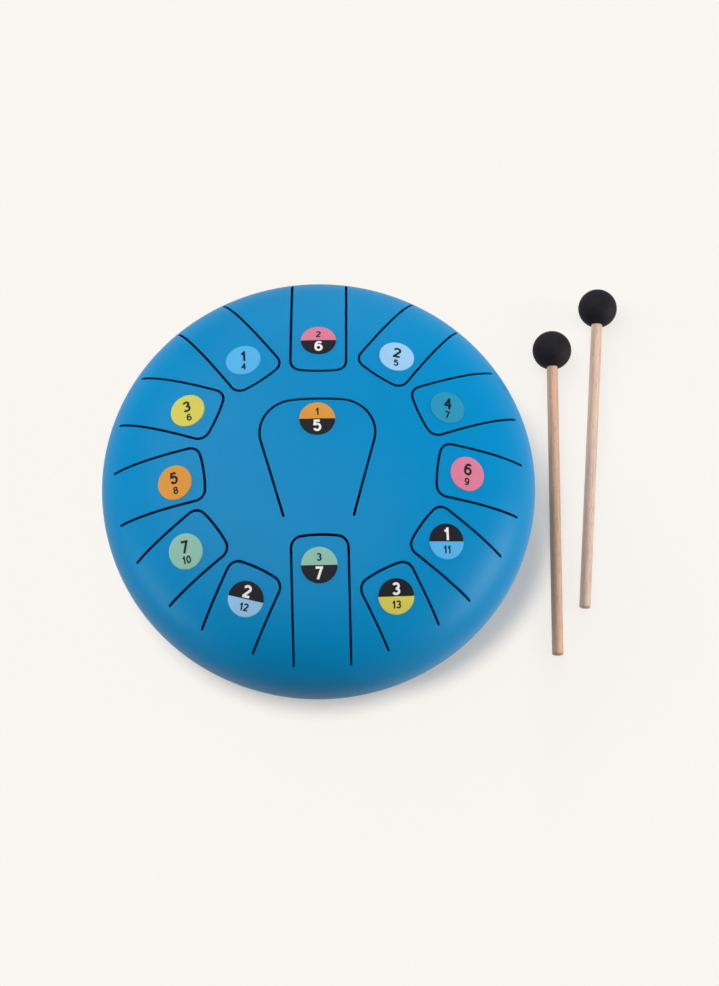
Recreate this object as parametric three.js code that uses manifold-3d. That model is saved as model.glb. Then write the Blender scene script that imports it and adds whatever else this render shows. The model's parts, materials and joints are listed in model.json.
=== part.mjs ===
// A steel tongue drum with its two mallets, lying on a table.
// Millimetres, +Z up, +Y away from the player, +X to the player's right.
// The table is the plane z = 0.

import * as THREE from 'three';
import { mergeVertices } from 'three/addons/utils/BufferGeometryUtils.js';
import Module from 'manifold-3d';

// Bowls
const DRUM_DIAMETER = 300;
const SHEET_THICKNESS = 1.5;
const UPPER_HEIGHT = 69.6;
const LOWER_DEPTH = 60;
const UPPER_FLATNESS = 1.944;
const UPPER_SHOULDER = 2.567;
const LOWER_FLATNESS = 2.6;
const LOWER_SHOULDER = 2.35;
const SOUND_HOLE_DIAMETER = 72;

// Rim seam: the lower bowl's lip stands inside the upper bowl
const SEAM_GAP = 0.2;
const LIP_HEIGHT = 6;
const LIP_CLEARANCE = 0.3;

// Feet
const BASE_CLEARANCE = 5;
const FOOT_COUNT = 4;
const FOOT_CIRCLE_RADIUS = 78;
const FOOT_RADIUS = 11.5;
const FOOT_TREAD_RADIUS = 9.5;
const FOOT_EDGE = 1.2;
const FOOT_GAP = 0.1;

// Tongues
const SLIT_WIDTH = 1.7;
const ROOT_GAP = 0.3;
const TONGUE_PITCH_WIDTH = 37.8;
const TIP_CORNER_RADIUS = 7.5;
const TIP_ARC_RADIUS = 100;

// The middle tongue, which has its root towards the player
const MIDDLE_TIP = 38.4;
const MIDDLE_ROOT = 44.6;
const MIDDLE_WIDTH = 77.4;
const MIDDLE_ROOT_WIDTH = 46.6;
const MIDDLE_CORNER_RADIUS = 23.5;
const MIDDLE_TIP_ARC_RADIUS = 230;

// Note stickers
const STICKER_RADIUS = 12;
const STICKER_THICKNESS = 0.3;
const STICKER_GAP = 0.05;

// Mallets
const BALL_RADIUS = 14.3;
const STICK_RADIUS = 4;
const STICK_REACH = 230.8;
const STICK_END_ROUND = 0.8;
const BORE_DEPTH = 20;
const BORE_CLEARANCE = 0.15;

// Facets
const BOWL_SEGMENTS = 72;
const BOWL_STEPS = 12;
const ARC_STEPS = 4;
const STICKER_SEGMENTS = 20;
const FOOT_SEGMENTS = 20;
const BALL_SEGMENTS = 20;
const STICK_SEGMENTS = 12;

// One row for each rim tongue, lowest note first. azimuth is in degrees anticlockwise from +X. tip is
// the distance from the drum's axis to the slit at the free end, and setback the distance from the
// drum's edge to the root. The sticker lies sticker.in from the tip, towards the root, and
// sticker.aside anticlockwise of the tongue's middle line.
const RIM_TONGUES = [
  { note: 2, azimuth: 88.9, tip: 60, setback: 8.4, sticker: { in: 25, aside: 0 } },
  { note: 3, azimuth: -89.7, tip: 57.8, setback: 12.8, sticker: { in: 19.9, aside: -0.6 } },
  { note: 4, azimuth: 124.5, tip: 65.9, setback: 8.7, sticker: { in: 21.2, aside: 0.6 } },
  { note: 5, azimuth: 54.2, tip: 69.9, setback: 8.8, sticker: { in: 21.2, aside: -2 } },
  { note: 6, azimuth: 157.2, tip: 73.2, setback: 11.2, sticker: { in: 21.4, aside: 1 } },
  { note: 7, azimuth: 22.5, tip: 74.3, setback: 11.5, sticker: { in: 20.5, aside: -1.8 } },
  { note: 8, azimuth: -172.2, tip: 76.9, setback: 13, sticker: { in: 20.3, aside: 2.8 } },
  { note: 9, azimuth: -7.4, tip: 80.4, setback: 13.1, sticker: { in: 20.5, aside: 0.1 } },
  { note: 10, azimuth: -144.4, tip: 83.9, setback: 13.6, sticker: { in: 25, aside: -0.1 } },
  { note: 11, azimuth: -35.9, tip: 84.1, setback: 14.2, sticker: { in: 19.7, aside: 0.7 } },
  { note: 12, azimuth: -117.1, tip: 87.9, setback: 14.8, sticker: { in: 20.9, aside: 0.7 } },
  { note: 13, azimuth: -63, tip: 90.4, setback: 15.3, sticker: { in: 19, aside: 0.6 } },
];
const MIDDLE_STICKER_IN = 15.2;

// Where each mallet's ball lies on the table: beside is how far +X of the drum's edge, and ahead how
// far +Y of its axis. heading is the way that the stick points from the ball, in degrees from +X.
const MALLETS = [
  { beside: 23.25, ahead: 124.1, heading: -91.75 },
  { beside: 59, ahead: 157.6, heading: -95.4 },
];

const STICKER_COLOURS = {
  1: '#e29a3c', 2: '#dc7a98', 3: '#93c9ae', 4: '#58b4e8', 5: '#9acbf0', 6: '#d8cd57', 7: '#2e93b0',
  8: '#e09a3c', 9: '#de7d96', 10: '#90c3ae', 11: '#6cb9ea', 12: '#9acbf0', 13: '#dcc94c',
};

const PAINT = { color: '#1d89c1', roughness: 0.42, metalness: 0.1 };
const RUBBER = { color: '#1c1b1f', roughness: 0.85, metalness: 0 };
const WOOD = [
  { color: '#c39a7e', roughness: 0.6, metalness: 0 },
  { color: '#d3b5a0', roughness: 0.6, metalness: 0 },
];

const RIM_RADIUS = DRUM_DIAMETER / 2;
const EQUATOR_HEIGHT = BASE_CLEARANCE + LOWER_DEPTH;
const TALL = 4 * UPPER_HEIGHT;
const radians = THREE.MathUtils.degToRad;

const wasm = await Module();
wasm.setup();

// Solids

function solidFrom(geometry) {
  const bare = geometry.clone();
  bare.deleteAttribute('normal');
  bare.deleteAttribute('uv');
  const merged = mergeVertices(bare, 1e-4);
  const triangles = [];
  const index = merged.index.array;
  for (let i = 0; i < index.length; i += 3) {
    const [a, b, c] = [index[i], index[i + 1], index[i + 2]];
    if (a !== b && b !== c && c !== a) triangles.push(a, b, c);
  }
  return new wasm.Manifold(new wasm.Mesh({
    numProp: 3,
    vertProperties: merged.attributes.position.array,
    triVerts: Uint32Array.from(triangles),
  }));
}

function geometryFrom(solid) {
  const mesh = solid.getMesh();
  const geometry = new THREE.BufferGeometry();
  geometry.setAttribute('position', new THREE.BufferAttribute(mesh.vertProperties, 3));
  geometry.setIndex(new THREE.BufferAttribute(mesh.triVerts, 1));
  return geometry;
}

function named(name, geometry, finish) {
  const mesh = new THREE.Mesh(geometry, new THREE.MeshStandardMaterial(finish));
  mesh.name = name;
  return mesh;
}

// A profile of (radius, height) points turned about +Z. It runs anticlockwise round its solid.
function turned(profile, segments) {
  const geometry = new THREE.LatheGeometry(profile, segments);
  geometry.rotateX(Math.PI / 2);
  return geometry;
}

// An outline in plan, drawn up and down past both bowls
function prism(outline) {
  const geometry = new THREE.ExtrudeGeometry(outline, { depth: TALL, bevelEnabled: false });
  geometry.translate(0, 0, -TALL / 4);
  return geometry;
}

// Bowls. The seam plane is z = 0 here.
// Both bowls follow (r / R)^flatness + (z / depth)^shoulder = 1, moved out along their normal.

const UPPER = { depth: UPPER_HEIGHT, flatness: UPPER_FLATNESS, shoulder: UPPER_SHOULDER, side: 1 };
const LOWER = { depth: LOWER_DEPTH, flatness: LOWER_FLATNESS, shoulder: LOWER_SHOULDER, side: -1 };

function bowlPoint(bowl, angle, offset) {
  const along = Math.sin(angle) ** (2 / bowl.flatness);
  const up = Math.max(0, Math.cos(angle)) ** (2 / bowl.shoulder);
  const normal = new THREE.Vector2(
    (bowl.flatness / RIM_RADIUS) * along ** (bowl.flatness - 1),
    (bowl.shoulder / bowl.depth) * up ** (bowl.shoulder - 1),
  ).normalize();
  const point = new THREE.Vector2(RIM_RADIUS * along, bowl.depth * up).addScaledVector(normal, offset);
  return new THREE.Vector2(point.x, bowl.side * point.y);
}

// From the middle of the bowl to its rim
function bowlCurve(bowl, offset) {
  const points = [];
  for (let i = 0; i <= BOWL_STEPS; i += 1) {
    const angle = (Math.PI / 2) * (i / BOWL_STEPS);
    points.push(bowlPoint(bowl, angle, offset));
  }
  points[0].x = 0;
  points[BOWL_STEPS].y = 0;
  return points;
}

function radiusAtHeight(curve, height) {
  const i = curve.findIndex((point) => Math.abs(point.y) <= Math.abs(height));
  const [a, b] = [curve[i - 1], curve[i]];
  return THREE.MathUtils.mapLinear(height, a.y, b.y, a.x, b.x);
}

function heightAtRadius(curve, radius) {
  const i = curve.findIndex((point) => point.x >= radius);
  const [a, b] = [curve[i - 1], curve[i]];
  return THREE.MathUtils.mapLinear(radius, a.x, b.x, a.y, b.y);
}

const upperOuter = bowlCurve(UPPER, 0);
const upperInner = bowlCurve(UPPER, -SHEET_THICKNESS);
const lowerOuter = bowlCurve(LOWER, 0);
const lowerInner = bowlCurve(LOWER, -SHEET_THICKNESS);

function upperBowl() {
  return solidFrom(turned([...upperInner, ...upperOuter.toReversed()], BOWL_SEGMENTS));
}

function lowerBowl() {
  const holeRadius = SOUND_HOLE_DIAMETER / 2;
  const lipOuter = radiusAtHeight(upperInner, LIP_HEIGHT) - LIP_CLEARANCE;
  const lipInner = lipOuter - SHEET_THICKNESS;
  const outside = (point) => point.x > holeRadius;
  const outer = lowerOuter.filter((point) => outside(point) && point.y < -SEAM_GAP);
  const inner = lowerInner.filter((point) => outside(point) && point.x < lipInner);
  const profile = [
    new THREE.Vector2(holeRadius, heightAtRadius(lowerOuter, holeRadius)),
    ...outer,
    new THREE.Vector2(RIM_RADIUS, -SEAM_GAP),
    new THREE.Vector2(lipOuter, -SEAM_GAP),
    new THREE.Vector2(lipOuter, LIP_HEIGHT),
    new THREE.Vector2(lipInner, LIP_HEIGHT),
    new THREE.Vector2(lipInner, heightAtRadius(lowerInner, lipInner)),
    ...inner.toReversed(),
    new THREE.Vector2(holeRadius, heightAtRadius(lowerInner, holeRadius)),
  ];
  return turned([...profile, profile[0].clone()], BOWL_SEGMENTS);
}

// Tongue outlines in plan. grow moves the outline out from the slit's middle line, and rootY is the
// straight line across the root. Each tongue points along +Y here, with its root at the +Y end.

function rimTongueOutline(tip, rootY, grow) {
  const half = TONGUE_PITCH_WIDTH / 2;
  const corner = TIP_CORNER_RADIUS + grow;
  const arc = TIP_ARC_RADIUS + grow;
  const cornerX = half - TIP_CORNER_RADIUS;
  const arcY = tip + TIP_ARC_RADIUS;
  const cornerY = arcY - Math.sqrt((TIP_ARC_RADIUS - TIP_CORNER_RADIUS) ** 2 - cornerX ** 2);
  const turn = Math.atan2(cornerX, arcY - cornerY);
  const outline = new THREE.Shape();
  outline.absarc(-cornerX, cornerY, corner, -Math.PI, -Math.PI / 2 - turn, false);
  outline.absarc(0, arcY, arc, -Math.PI / 2 - turn, -Math.PI / 2 + turn, false);
  outline.absarc(cornerX, cornerY, corner, -Math.PI / 2 + turn, 0, false);
  outline.lineTo(half + grow, rootY);
  outline.lineTo(-half - grow, rootY);
  return outline;
}

function middleTongueOutline(rootY, grow) {
  const corner = MIDDLE_CORNER_RADIUS + grow;
  const arc = MIDDLE_TIP_ARC_RADIUS + grow;
  const cornerX = MIDDLE_WIDTH / 2 - MIDDLE_CORNER_RADIUS;
  const arcY = -MIDDLE_TIP + MIDDLE_TIP_ARC_RADIUS;
  const cornerY = arcY - Math.sqrt((MIDDLE_TIP_ARC_RADIUS - MIDDLE_CORNER_RADIUS) ** 2 - cornerX ** 2);
  const turn = Math.atan2(cornerX, arcY - cornerY);
  const toRoot = new THREE.Vector2(MIDDLE_ROOT_WIDTH / 2 - cornerX, MIDDLE_ROOT - cornerY);
  const lean = Math.asin(MIDDLE_CORNER_RADIUS / toRoot.length()) - Math.atan2(toRoot.x, toRoot.y);
  const along = (rootY - cornerY - corner * Math.sin(lean)) / Math.cos(lean);
  const rootX = cornerX + corner * Math.cos(lean) - along * Math.sin(lean);
  const outline = new THREE.Shape();
  outline.absarc(-cornerX, cornerY, corner, Math.PI - lean, 1.5 * Math.PI - turn, false);
  outline.absarc(0, arcY, arc, -Math.PI / 2 - turn, -Math.PI / 2 + turn, false);
  outline.absarc(cornerX, cornerY, corner, -Math.PI / 2 + turn, lean, false);
  outline.lineTo(rootX, rootY);
  outline.lineTo(-rootX, rootY);
  return outline;
}

// Every tongue has the same parts: an outline, the azimuth that its root points to, its root's
// distance from the drum's axis and its sticker's place along and across it

function rimTongue(row) {
  const root = RIM_RADIUS - row.setback;
  return {
    note: row.note,
    azimuth: row.azimuth,
    root,
    outline: (rootY, grow) => rimTongueOutline(row.tip, rootY, grow),
    sticker: { along: row.tip + row.sticker.in, aside: row.sticker.aside },
  };
}

const middleTongue = {
  note: 1,
  azimuth: -90,
  root: MIDDLE_ROOT,
  outline: middleTongueOutline,
  sticker: { along: MIDDLE_STICKER_IN - MIDDLE_TIP, aside: 0 },
};

const TONGUES = [middleTongue, ...RIM_TONGUES.map(rimTongue)];

function tonguePrism(tongue, rootY, grow) {
  const outline = tongue.outline(rootY, grow);
  const flat = new THREE.Shape(outline.getPoints(ARC_STEPS));
  const geometry = prism(flat);
  geometry.rotateZ(radians(tongue.azimuth - 90));
  return solidFrom(geometry);
}

function tongueSolid(tongue, bowl) {
  const blank = tonguePrism(tongue, tongue.root - ROOT_GAP / 2, -SLIT_WIDTH / 2);
  return bowl.intersect(blank);
}

function slitBowl(bowl) {
  return TONGUES.reduce((left, tongue) => {
    const window = tonguePrism(tongue, tongue.root + ROOT_GAP / 2, SLIT_WIDTH / 2);
    return left.subtract(window);
  }, bowl);
}

// Stickers: a thin skin over the upper bowl, cut by a round punch square to the bowl there

function stickerSkin() {
  const under = bowlCurve(UPPER, STICKER_GAP);
  const over = bowlCurve(UPPER, STICKER_GAP + STICKER_THICKNESS);
  return solidFrom(turned([...under, ...over.toReversed()], BOWL_SEGMENTS));
}

function stickerSolid(tongue, skin) {
  const out = new THREE.Vector2(tongue.sticker.along, tongue.sticker.aside);
  out.rotateAround(new THREE.Vector2(), radians(tongue.azimuth));
  const radius = out.length();
  const rise = heightAtRadius(upperOuter, radius) - heightAtRadius(upperOuter, radius + 1);
  const normal = new THREE.Vector3(out.x * rise / radius, out.y * rise / radius, 1).normalize();
  const reach = 4 * STICKER_RADIUS;
  const punch = new THREE.CylinderGeometry(STICKER_RADIUS, STICKER_RADIUS, reach, STICKER_SEGMENTS);
  const place = new THREE.Quaternion().setFromUnitVectors(new THREE.Vector3(0, 1, 0), normal);
  punch.applyQuaternion(place);
  punch.translate(out.x, out.y, heightAtRadius(upperOuter, radius));
  return skin.intersect(solidFrom(punch));
}

// Feet: turned pads, hollowed on top by the lower bowl's outside

function footSolid(azimuth) {
  const top = EQUATOR_HEIGHT + heightAtRadius(lowerOuter, FOOT_CIRCLE_RADIUS + FOOT_RADIUS);
  const blank = [
    new THREE.Vector2(0, 0),
    new THREE.Vector2(FOOT_TREAD_RADIUS, 0),
    new THREE.Vector2(FOOT_TREAD_RADIUS + FOOT_EDGE, FOOT_EDGE),
    new THREE.Vector2(FOOT_RADIUS, top + FOOT_RADIUS),
    new THREE.Vector2(0, top + FOOT_RADIUS),
  ];
  const pad = turned(blank, FOOT_SEGMENTS);
  pad.translate(FOOT_CIRCLE_RADIUS, 0, -EQUATOR_HEIGHT);
  pad.rotateZ(azimuth);
  const outside = bowlCurve(LOWER, FOOT_GAP);
  const filled = solidFrom(turned([...outside, new THREE.Vector2(0, 0)], BOWL_SEGMENTS));
  return solidFrom(pad).subtract(filled);
}

// Mallets. The stick's middle line is +Y here, with the ball's middle at the origin.

function ballGeometry() {
  const bore = STICK_RADIUS + BORE_CLEARANCE;
  const boreEnd = BORE_DEPTH - BALL_RADIUS;
  const mouth = Math.asin(bore / BALL_RADIUS);
  const rings = BALL_SEGMENTS / 2;
  const profile = [new THREE.Vector2(0, boreEnd), new THREE.Vector2(bore, boreEnd)];
  for (let i = 0; i <= rings; i += 1) {
    const angle = mouth + (Math.PI - mouth) * (i / rings);
    profile.push(new THREE.Vector2(BALL_RADIUS * Math.sin(angle), -BALL_RADIUS * Math.cos(angle)));
  }
  profile[profile.length - 1].x = 0;
  return new THREE.LatheGeometry(profile, BALL_SEGMENTS);
}

function stickGeometry() {
  const head = BORE_DEPTH - BALL_RADIUS - BORE_CLEARANCE;
  const round = STICK_END_ROUND;
  const profile = [
    new THREE.Vector2(0, -STICK_REACH),
    new THREE.Vector2(STICK_RADIUS - round, -STICK_REACH),
    new THREE.Vector2(STICK_RADIUS - round * 0.29, -STICK_REACH + round * 0.29),
    new THREE.Vector2(STICK_RADIUS, -STICK_REACH + round),
    new THREE.Vector2(STICK_RADIUS, head - round),
    new THREE.Vector2(STICK_RADIUS - round, head),
    new THREE.Vector2(0, head),
  ];
  return new THREE.LatheGeometry(profile, STICK_SEGMENTS);
}

// The ball and the stick's tail both touch the table
function mallet(number, place) {
  const group = new THREE.Group();
  const dip = Math.asin((BALL_RADIUS - STICK_RADIUS) / STICK_REACH);
  const heading = radians(place.heading);
  const towardsBall = new THREE.Vector3(
    -Math.cos(heading) * Math.cos(dip),
    -Math.sin(heading) * Math.cos(dip),
    Math.sin(dip),
  );
  group.quaternion.setFromUnitVectors(new THREE.Vector3(0, 1, 0), towardsBall);
  group.position.set(RIM_RADIUS + place.beside, place.ahead, BALL_RADIUS);
  group.add(named(`mallet_${number}_stick`, stickGeometry(), WOOD[number - 1]));
  group.add(named(`mallet_${number}_ball`, ballGeometry(), RUBBER));
  return group;
}

// The drum

function drum() {
  const group = new THREE.Group();
  const bowl = upperBowl();
  const skin = stickerSkin();
  group.add(named('top_shell', geometryFrom(slitBowl(bowl)), PAINT));
  group.add(named('bottom_shell', lowerBowl(), PAINT));
  for (const tongue of TONGUES) {
    const number = String(tongue.note).padStart(2, '0');
    const paper = { color: STICKER_COLOURS[tongue.note], roughness: 0.6, metalness: 0 };
    group.add(named(`tongue_${number}`, geometryFrom(tongueSolid(tongue, bowl)), PAINT));
    group.add(named(`sticker_${number}`, geometryFrom(stickerSolid(tongue, skin)), paper));
  }
  for (let i = 0; i < FOOT_COUNT; i += 1) {
    const azimuth = (2 * Math.PI * (i + 0.5)) / FOOT_COUNT;
    group.add(named(`foot_${i + 1}`, geometryFrom(footSolid(azimuth)), RUBBER));
  }
  group.position.z = EQUATOR_HEIGHT;
  return group;
}

// The whole set stands with the middle of its box over the origin

const set = new THREE.Group();
set.add(drum());
MALLETS.forEach((place, i) => set.add(mallet(i + 1, place)));

const middle = new THREE.Box3().setFromObject(set, true).getCenter(new THREE.Vector3());
set.position.set(-middle.x, -middle.y, 0);

const tongueDrum = new THREE.Group();
tongueDrum.add(set);

export default tongueDrum;
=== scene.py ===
"""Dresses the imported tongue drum: two enamelled steel bowls, thirteen tongues with their note
stickers, four rubber feet and two ball mallets, all lying on a pale table."""

import json
import math

import bpy
from bpy.props import FloatProperty, FloatVectorProperty, IntProperty, PointerProperty
from bpy.types import Operator, Panel, PropertyGroup
from mathutils import Matrix, Vector

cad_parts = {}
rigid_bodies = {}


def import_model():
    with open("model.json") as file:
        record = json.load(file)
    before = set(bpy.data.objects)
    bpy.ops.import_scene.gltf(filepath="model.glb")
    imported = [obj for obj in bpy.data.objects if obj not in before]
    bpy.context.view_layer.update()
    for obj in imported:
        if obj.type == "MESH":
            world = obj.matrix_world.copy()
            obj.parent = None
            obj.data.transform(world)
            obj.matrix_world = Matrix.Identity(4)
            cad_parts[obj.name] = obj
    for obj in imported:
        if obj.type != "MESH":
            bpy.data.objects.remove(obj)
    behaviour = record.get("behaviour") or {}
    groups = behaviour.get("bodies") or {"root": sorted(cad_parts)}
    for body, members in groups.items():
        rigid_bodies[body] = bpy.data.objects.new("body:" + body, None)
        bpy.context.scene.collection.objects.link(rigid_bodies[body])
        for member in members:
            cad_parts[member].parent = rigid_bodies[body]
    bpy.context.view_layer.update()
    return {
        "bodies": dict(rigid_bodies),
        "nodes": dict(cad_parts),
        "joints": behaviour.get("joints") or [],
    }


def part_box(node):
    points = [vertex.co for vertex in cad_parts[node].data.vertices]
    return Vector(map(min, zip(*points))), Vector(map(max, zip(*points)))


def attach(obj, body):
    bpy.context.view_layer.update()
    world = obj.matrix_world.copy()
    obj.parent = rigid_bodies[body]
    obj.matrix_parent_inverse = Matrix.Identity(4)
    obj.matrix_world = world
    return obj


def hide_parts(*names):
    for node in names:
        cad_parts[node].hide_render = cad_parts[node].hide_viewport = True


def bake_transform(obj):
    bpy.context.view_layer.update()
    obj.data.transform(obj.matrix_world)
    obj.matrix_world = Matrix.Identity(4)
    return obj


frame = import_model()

bl_info = {
    "name": "Tongue Drum",
    "version": (1, 0, 0),
    "blender": (4, 5, 0),
    "location": "View3D > Sidebar > Tongue Drum",
    "description": "Models and finishes a steel tongue drum and its mallets round the packed frame",
    "category": "Object",
}

MILLIMETRE = 0.001
MICROMETRE = 0.000001
FULL_TURN = 2 * math.pi
# Corners nearer to each other than this are one corner
SAME_PLACE = MILLIMETRE / 1000

# Places that the frame gives

shell_low, shell_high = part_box("top_shell")
DRUM_AXIS = Vector(((shell_low.x + shell_high.x) / 2, (shell_low.y + shell_high.y) / 2, 0))
RIM_RADIUS = (shell_high.x - shell_low.x) / 2
SEAM_HEIGHT = shell_low.z
CROWN_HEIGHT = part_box("tongue_01")[1].z - SEAM_HEIGHT
TONGUE_COUNT = sum(1 for joint in frame["joints"] if joint["child"].startswith("tongue"))
FOOT_COUNT = sum(1 for node in frame["nodes"] if node.startswith("foot"))
MALLET_COUNT = sum(1 for body in frame["bodies"] if body.startswith("mallet"))


# Settings

def length(name, description, millimetres):
    """A size in the settings, given here in millimetres."""
    metres = millimetres * MILLIMETRE
    return FloatProperty(
        name=name, description=description, default=metres, unit="LENGTH", precision=5
    )


def bearing(name, description, degrees):
    """An angle in the settings, given here in degrees."""
    return FloatProperty(
        name=name, description=description, default=math.radians(degrees), subtype="ANGLE"
    )


def share(name, description, default, unit="NONE"):
    """A plain number in the settings."""
    return FloatProperty(
        name=name, description=description, default=default, unit=unit, precision=3
    )


def colour(name, description, default):
    """A colour in the settings, given here as a screen colour from 0 to 255."""
    linear = [linear_light(channel) for channel in default]
    return FloatVectorProperty(
        name=name, description=description, subtype="COLOR", size=3, min=0, max=1, default=linear
    )


def linear_light(channel):
    """The linear value of one channel of a screen colour, by the sRGB curve."""
    level = channel / 255
    return level / 12.92 if level <= 0.04045 else ((level + 0.055) / 1.055) ** 2.4


class BowlSizes(PropertyGroup):
    """The two steel bowls, their slits and their seam."""

    upper_depth: length("Upper depth", "Height above the seam", CROWN_HEIGHT / MILLIMETRE)
    upper_flatness: share("Upper flatness", "Power of the upper bowl's curve across", 1.944)
    upper_shoulder: share("Upper shoulder", "Power of the upper bowl's curve upwards", 2.567)
    lower_depth: length("Lower depth", "Depth below the seam", 60)
    lower_flatness: share("Lower flatness", "Power of the lower bowl's curve across", 2.6)
    lower_shoulder: share("Lower shoulder", "Power of the lower bowl's curve downwards", 2.35)
    sheet: length("Sheet", "Thickness of the steel sheet", 1.5)
    sound_hole: length("Sound hole", "Radius of the hole under the drum", 36)
    lip_height: length("Lip height", "Height of the lower bowl's lip above the seam", 6)
    lip_clearance: length("Lip clearance", "Gap between the lip and the upper bowl", 0.3)
    edge_round: length("Edge round", "Rounding of the sheet's outer edges", 0.35)
    slit: length("Slit", "Width of the slits round the tongues", 1.7)
    slit_round: length("Slit round", "Rounding of the slits' upper edges", 0.3)


class RimTongueSizes(PropertyGroup):
    """The shape that the twelve tongues round the rim share."""

    width: length("Width", "Width between the slits' middle lines", 37.8)
    root_width: length("Root width", "Width at the root between the slits' middle lines", 37.8)
    corner: length("Corner", "Radius of the two corners at the tip", 7.5)
    tip_arc: length("Tip arc", "Radius of the bowed tip", 100)


class MiddleTongueSizes(PropertyGroup):
    """The shape of the wide tongue in the middle."""

    width: length("Width", "Width between the slits' middle lines", 77.4)
    root_width: length("Root width", "Width at the root between the slits' middle lines", 46.6)
    corner: length("Corner", "Radius of the two corners at the tip", 23.5)
    tip_arc: length("Tip arc", "Radius of the bowed tip", 230)


class StickerSizes(PropertyGroup):
    """The round note stickers and the numbers printed on them."""

    radius: length("Radius", "Radius of a sticker", 12)
    gap: length("Gap", "Glue line between the sticker and the steel", 0.05)
    thickness: length("Thickness", "Thickness of the vinyl", 0.26)
    ink: length("Ink", "Thickness of the printed numbers", 0.03)
    big_number: length("Big number", "Height of the step number", 8.5)
    small_number: length("Small number", "Height of the tongue number", 5.3)
    big_stroke: share("Big stroke", "Stroke as a share of the number's height", 0.19)
    small_stroke: share("Small stroke", "Stroke as a share of the number's height", 0.2)


class FootSizes(PropertyGroup):
    """The rubber pads under the drum."""

    radius: length("Radius", "Radius at the top of a pad", 11.5)
    tread: length("Tread", "Radius of the face that stands on the table", 9.5)
    edge: length("Edge", "Slope round the tread", 1.2)
    groove: length("Groove", "Depth of the ring pressed into the tread", 0.8)
    gap: length("Gap", "Glue line between the pad and the steel", 0.1)


class MalletSizes(PropertyGroup):
    """The two mallets: a wooden stick in a rubber ball."""

    ball: length("Ball", "Radius of the ball", 14.3)
    stick: length("Stick", "Radius of the stick", 4)
    bore: length("Bore", "Depth of the hole in the ball", 20)
    bore_clearance: length("Bore clearance", "Gap between the stick and its hole", 0.15)
    mouth_round: length("Mouth round", "Rounding of the hole's mouth", 0.5)
    end_round: length("End round", "Rounding of the stick's ends", 0.8)


class Colours(PropertyGroup):
    """The colours of every finish."""

    paint: colour("Paint", "Blue enamel on the steel", (3, 134, 191))
    orange: colour("Orange", "Stickers 1 and 8", (217, 148, 62))
    pink: colour("Pink", "Stickers 2 and 9", (214, 122, 149))
    green: colour("Green", "Stickers 3 and 10", (142, 190, 174))
    sky: colour("Sky", "Stickers 4 and 11", (85, 176, 229))
    pale_blue: colour("Pale blue", "Stickers 5 and 12", (150, 197, 232))
    yellow: colour("Yellow", "Stickers 6 and 13", (210, 200, 88))
    teal: colour("Teal", "Sticker 7", (44, 143, 176))
    black: colour("Black", "Black half of a sticker", (33, 33, 39))
    dark_ink: colour("Dark ink", "Numbers on a coloured ground", (28, 33, 44))
    white_ink: colour("White ink", "Numbers on a black ground", (236, 232, 232))
    rubber: colour("Rubber", "Balls and feet", (23, 22, 27))
    warm_wood: colour("Warm wood", "The stick nearer the drum", (209, 168, 140))
    pale_wood: colour("Pale wood", "The stick further from the drum", (212, 182, 161))
    table: colour("Table", "The table and the room behind it", (249, 246, 241))


class View(PropertyGroup):
    """The camera, which looks at the drum as the photograph does."""

    lens: share("Lens", "Focal length in millimetres on a 36 mm sensor", 79.29, unit="CAMERA")
    turn: bearing("Turn", "Round the drum from straight in front", -2.139)
    height: bearing("Height", "Above the table", 69.331)
    roll: bearing("Roll", "Turn of the camera about its own view", 0.978)
    distance: length("Distance", "From the camera to the point that it looks at", 1508.2)
    aside: length("Aside", "How far right of the drum's axis the camera looks", 28.15)
    behind: length("Behind", "How far behind the drum's axis the camera looks", -4.59)


class TongueDrum(PropertyGroup):
    """All the settings together."""

    bowls: PointerProperty(type=BowlSizes)
    rim_tongue: PointerProperty(type=RimTongueSizes)
    middle_tongue: PointerProperty(type=MiddleTongueSizes)
    sticker: PointerProperty(type=StickerSizes)
    foot: PointerProperty(type=FootSizes)
    mallet: PointerProperty(type=MalletSizes)
    colours: PointerProperty(type=Colours)
    view: PointerProperty(type=View)
    round_steps: IntProperty(
        name="Round steps", description="Facets round the drum", default=240, min=24
    )


def settings():
    """This scene's settings."""
    return bpy.context.scene.tongue_drum


# Modelling by hand

def deselect():
    """Leaves nothing selected."""
    bpy.ops.object.select_all(action="DESELECT")


def take(piece):
    """Makes one piece the selected and active one."""
    deselect()
    piece.select_set(True)
    bpy.context.view_layer.objects.active = piece


def draw(name, points):
    """Draws edges through the points by extruding one corner, and stays in edit mode."""
    deselect()
    bpy.ops.mesh.primitive_plane_add(size=MILLIMETRE)
    piece = bpy.context.object
    piece.name = name
    bpy.ops.object.mode_set(mode="EDIT")
    bpy.ops.mesh.select_mode(type="VERT")
    bpy.ops.mesh.merge(type="CENTER")
    bpy.ops.transform.translate(value=points[0])
    for here, there in zip(points, points[1:]):
        bpy.ops.mesh.extrude_region_move(TRANSFORM_OT_translate={"value": there - here})
    return piece


def lathe(name, profile, steps, centre=Vector()):
    """Spins a closed profile of (radius, height) points about a vertical line through centre."""
    piece = draw(name, [centre + Vector((radius, 0, height)) for radius, height in profile])
    bpy.ops.mesh.select_all(action="SELECT")
    bpy.ops.mesh.spin(
        steps=steps, angle=FULL_TURN, center=centre, axis=(0, 0, 1), use_auto_merge=True
    )
    bpy.ops.mesh.select_all(action="SELECT")
    bpy.ops.mesh.remove_doubles(threshold=SAME_PLACE)
    bpy.ops.mesh.normals_make_consistent(inside=False)
    bpy.ops.object.mode_set(mode="OBJECT")
    return piece


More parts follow.
